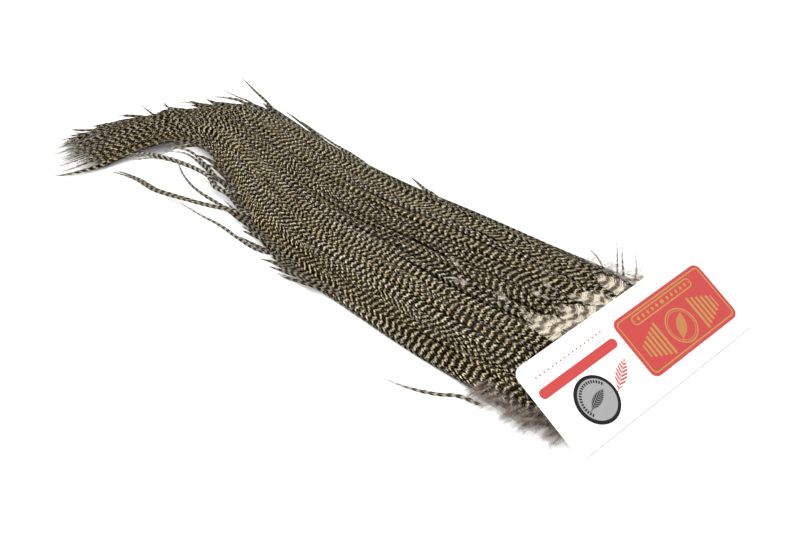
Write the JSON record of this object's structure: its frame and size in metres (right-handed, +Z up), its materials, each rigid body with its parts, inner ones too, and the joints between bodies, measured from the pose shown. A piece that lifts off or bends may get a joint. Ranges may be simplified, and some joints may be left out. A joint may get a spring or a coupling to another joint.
{
  "type": "rooster saddle patch on a folded display card",
  "caption": "Barred rooster saddle hackles and butt down lying on a folded white card with a header flap, a blank red label and a round grade sticker.",
  "frame": {"origin": "middle of the footprint, on the surface that the card lies on", "axes": "+X towards the card's fold and header flap, +Y across the card away from the grade sticker's side, +Z up"},
  "size_m": [0.4238, 0.1626, 0.0285],
  "materials": {
    "card": "smooth coated white",
    "label": "glossy red print with gold lines",
    "grade": "satin grey with a black ring",
    "hackle": "barred black-brown and cream, soft sheen",
    "down": "matt grey-brown fluff"
  },
  "bodies": {
    "root": {"backing_card": "card", "label_sticker": "label", "grade_sticker": "grade", "hackle_sheaf": "hackle", "near_down": "down", "far_down": "down", "stray_hackle_card_corner": "hackle", "stray_hackle_card_edge": "hackle", "stray_hackle_long_bundle": "hackle", "stray_hackle_upper_bundle": "hackle", "stray_hackle_curl": "hackle", "stray_hackle_over_tail": "hackle", "stray_hackle_outer_long": "hackle", "stray_hackle_outer_second": "hackle", "stray_hackle_outer_third": "hackle", "stray_hackle_outer_fourth": "hackle", "stray_hackle_outer_fifth": "hackle", "stray_hackle_outer_sixth": "hackle", "stray_hackle_far_side": "hackle", "stray_hackle_far_short": "hackle", "stray_hackle_flap_tall": "hackle", "stray_hackle_flap_thin": "hackle", "stray_hackle_flap_short": "hackle", "stray_hackle_flap_low": "hackle", "stray_hackle_near_side": "hackle", "stray_hackle_lone": "hackle"}
  },
  "joints": []
}
